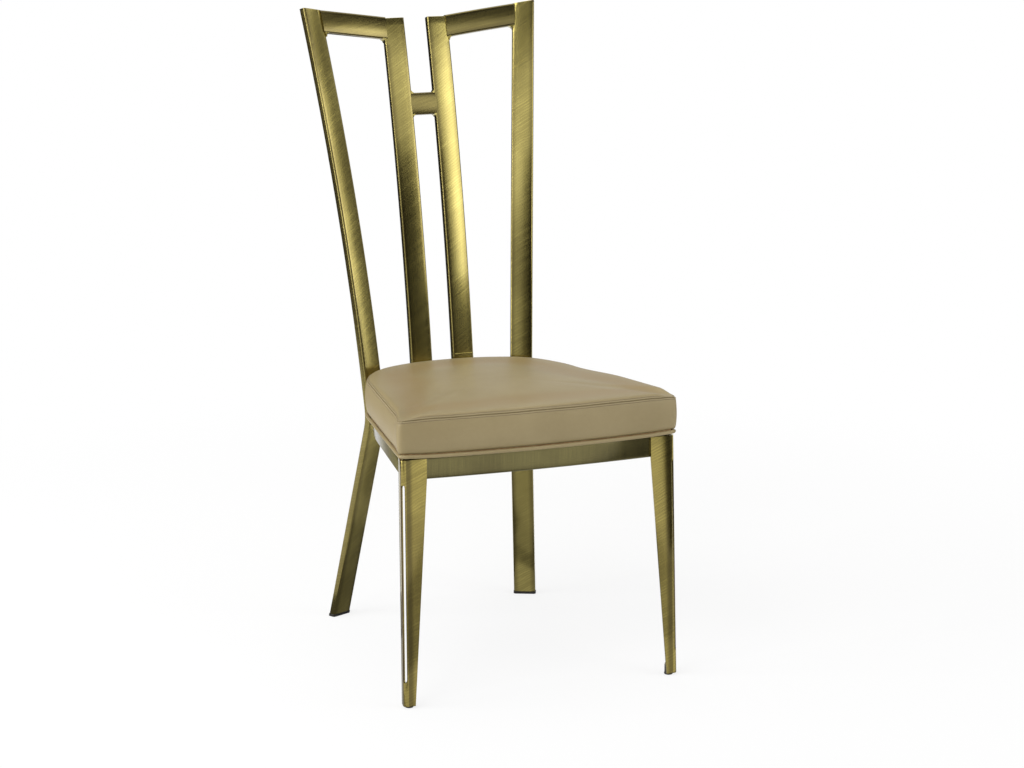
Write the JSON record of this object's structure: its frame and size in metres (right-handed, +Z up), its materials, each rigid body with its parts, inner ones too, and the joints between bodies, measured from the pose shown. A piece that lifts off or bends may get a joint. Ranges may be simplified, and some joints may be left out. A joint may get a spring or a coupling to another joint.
{
  "type": "klismos dining chair",
  "caption": "Klismos dining chair with splayed sabre back legs, a split open back of curved metal posts, slotted angle front legs and a boxed leather seat pad.",
  "frame": {"origin": "on the floor, under the middle of the chair's bounding box", "axes": "+Z up, front of the seat towards -Y, +X to the right of someone who looks at the front"},
  "size_m": [0.4692, 0.6018, 1.0403],
  "materials": {
    "bronze_frame": "brushed, bronze toned under clear lacquer",
    "black_plastic": "matt moulded",
    "seat_leather": "smooth taupe, semi-matt",
    "seat_foam": "open cell, soft",
    "plywood": "raw ply",
    "cambric": "woven, matt",
    "zinc_fixings": "bright zinc plated"
  },
  "bodies": {
    "root": {"rear_leg_post_left": "bronze_frame", "inner_post_left": "bronze_frame", "top_rail_left": "bronze_frame", "rear_leg_post_right": "bronze_frame", "inner_post_right": "bronze_frame", "top_rail_right": "bronze_frame", "bridge_bar": "bronze_frame", "front_apron": "bronze_frame", "rear_apron": "bronze_frame", "side_apron_left": "bronze_frame", "front_leg_left": "bronze_frame", "foot_plate_left": "bronze_frame", "corner_gusset_front_left": "bronze_frame", "corner_gusset_rear_left": "bronze_frame", "side_apron_right": "bronze_frame", "front_leg_right": "bronze_frame", "foot_plate_right": "bronze_frame", "corner_gusset_front_right": "bronze_frame", "corner_gusset_rear_right": "bronze_frame", "rear_foot_cap_left": "black_plastic", "front_glide_left": "black_plastic", "rear_foot_cap_right": "black_plastic", "front_glide_right": "black_plastic", "seat_cover": "seat_leather", "seat_piping": "seat_leather", "seat_foam": "seat_foam", "seat_board": "plywood", "dust_cover": "cambric", "tee_nut_front_left": "zinc_fixings", "seat_screw_front_left": "zinc_fixings", "tee_nut_rear_left": "zinc_fixings", "seat_screw_rear_left": "zinc_fixings", "tee_nut_front_right": "zinc_fixings", "seat_screw_front_right": "zinc_fixings", "tee_nut_rear_right": "zinc_fixings", "seat_screw_rear_right": "zinc_fixings"}
  },
  "joints": []
}
